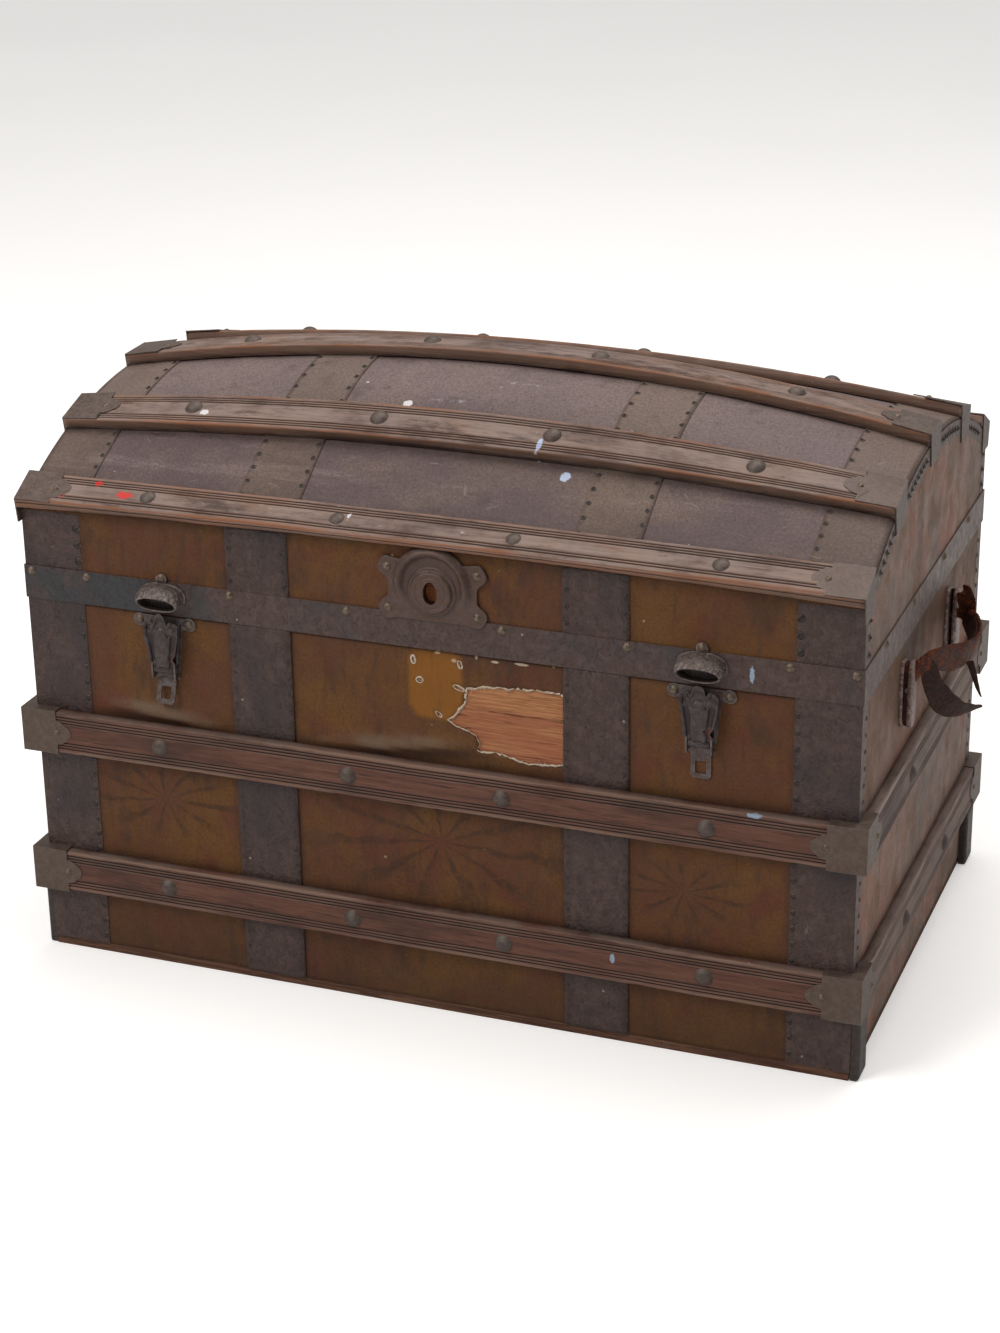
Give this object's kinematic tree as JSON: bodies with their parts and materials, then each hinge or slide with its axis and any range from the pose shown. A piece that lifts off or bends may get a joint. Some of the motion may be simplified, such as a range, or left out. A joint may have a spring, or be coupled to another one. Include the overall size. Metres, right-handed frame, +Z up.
{
  "type": "steamer trunk",
  "caption": "Dome-top travelling trunk with a hinged lid, hardwood slats, sheet-iron trim, front latches and leather end handles, for storing and carrying goods.",
  "frame": {"origin": "centre of the trunk's footprint, on the floor", "axes": "+X along the front towards its right end as seen from the front, +Y from front to back, +Z up"},
  "size_m": [0.9688, 0.555, 0.6252],
  "materials": {
    "pine_board": "bare sawn pine, aged",
    "hardwood_slat": "reeded hardwood, worn varnish and dust",
    "canvas": "painted canvas, ochre brown, worn",
    "sheet_iron": "japanned sheet iron, dusty",
    "pressed_iron": "pressed iron, worn black japan",
    "brass_nail": "tarnished",
    "steel_pin": "dull",
    "leather": "dry cracked leather",
    "paper_lining": "aged plain paper"
  },
  "bodies": {
    "base": {"back_board": "pine_board", "back_canvas": "canvas", "back_lower_slat": "hardwood_slat", "back_upper_slat": "hardwood_slat", "base_corner_bindings": "sheet_iron", "base_hardware_nails": "brass_nail", "base_lining": "paper_lining", "base_middle_strips": "sheet_iron", "base_slat_clamps": "pressed_iron", "base_slat_rivets": "pressed_iron", "base_tacks": "pressed_iron", "bottom_board": "pine_board", "corner_shoes": "pressed_iron", "front_board": "pine_board", "front_canvas": "canvas", "front_lower_slat": "hardwood_slat", "front_upper_slat": "hardwood_slat", "handle_caps": "pressed_iron", "hinge_base_leaves": "pressed_iron", "latch_plates": "pressed_iron", "left_end_board": "pine_board", "left_end_canvas": "canvas", "left_end_slats": "hardwood_slat", "pivot_pins": "steel_pin", "right_end_board": "pine_board", "right_end_canvas": "canvas", "right_end_slats": "hardwood_slat", "tray_cleats": "pine_board"},
    "lid": {"back_edge_slat": "hardwood_slat", "band_rivets": "brass_nail", "front_edge_slat": "hardwood_slat", "hinge_lid_leaves": "pressed_iron", "latch_hoods": "pressed_iron", "lid_back_board": "pine_board", "lid_band": "sheet_iron", "lid_canvas": "canvas", "lid_corner_bindings": "sheet_iron", "lid_end_arches": "sheet_iron", "lid_front_board": "pine_board", "lid_hardware_nails": "brass_nail", "lid_left_end_board": "pine_board", "lid_lining": "paper_lining", "lid_right_end_board": "pine_board", "lid_strips": "sheet_iron", "lid_tacks": "pressed_iron", "lock_case": "pressed_iron", "lock_plate": "pressed_iron", "roof_cover": "sheet_iron", "roof_slat_1": "hardwood_slat", "roof_slat_2": "hardwood_slat", "roof_slat_3": "hardwood_slat", "roof_slat_clamps": "pressed_iron", "roof_slat_rivets": "pressed_iron", "roof_staves": "pine_board"},
    "left_latch": {"left_latch_lever": "pressed_iron"},
    "right_latch": {"right_latch_lever": "pressed_iron"},
    "left_handle": {"left_handle_strap": "leather"},
    "right_handle": {"right_handle_strap": "leather"}
  },
  "joints": [
    {"name": "lid_hinge", "type": "hinge", "parent": "base", "child": "lid", "pos_m": [0, 0.2674, 0.395], "axis": [-1, 0, 0], "range_deg": [0, 100]},
    {"name": "left_latch_pivot", "type": "hinge", "parent": "base", "child": "left_latch", "pos_m": [-0.278, -0.267, 0.338], "axis": [1, 0, 0], "range_deg": [0, 150]},
    {"name": "right_latch_pivot", "type": "hinge", "parent": "base", "child": "right_latch", "pos_m": [0.278, -0.267, 0.338], "axis": [1, 0, 0], "range_deg": [0, 150]},
    {"name": "left_handle_swing", "type": "hinge", "parent": "base", "child": "left_handle", "pos_m": [-0.439, 0, 0.351], "axis": [0, 1, 0], "range_deg": [-28, 80]},
    {"name": "right_handle_swing", "type": "hinge", "parent": "base", "child": "right_handle", "pos_m": [0.439, 0, 0.351], "axis": [0, -1, 0], "range_deg": [-28, 80]}
  ]
}
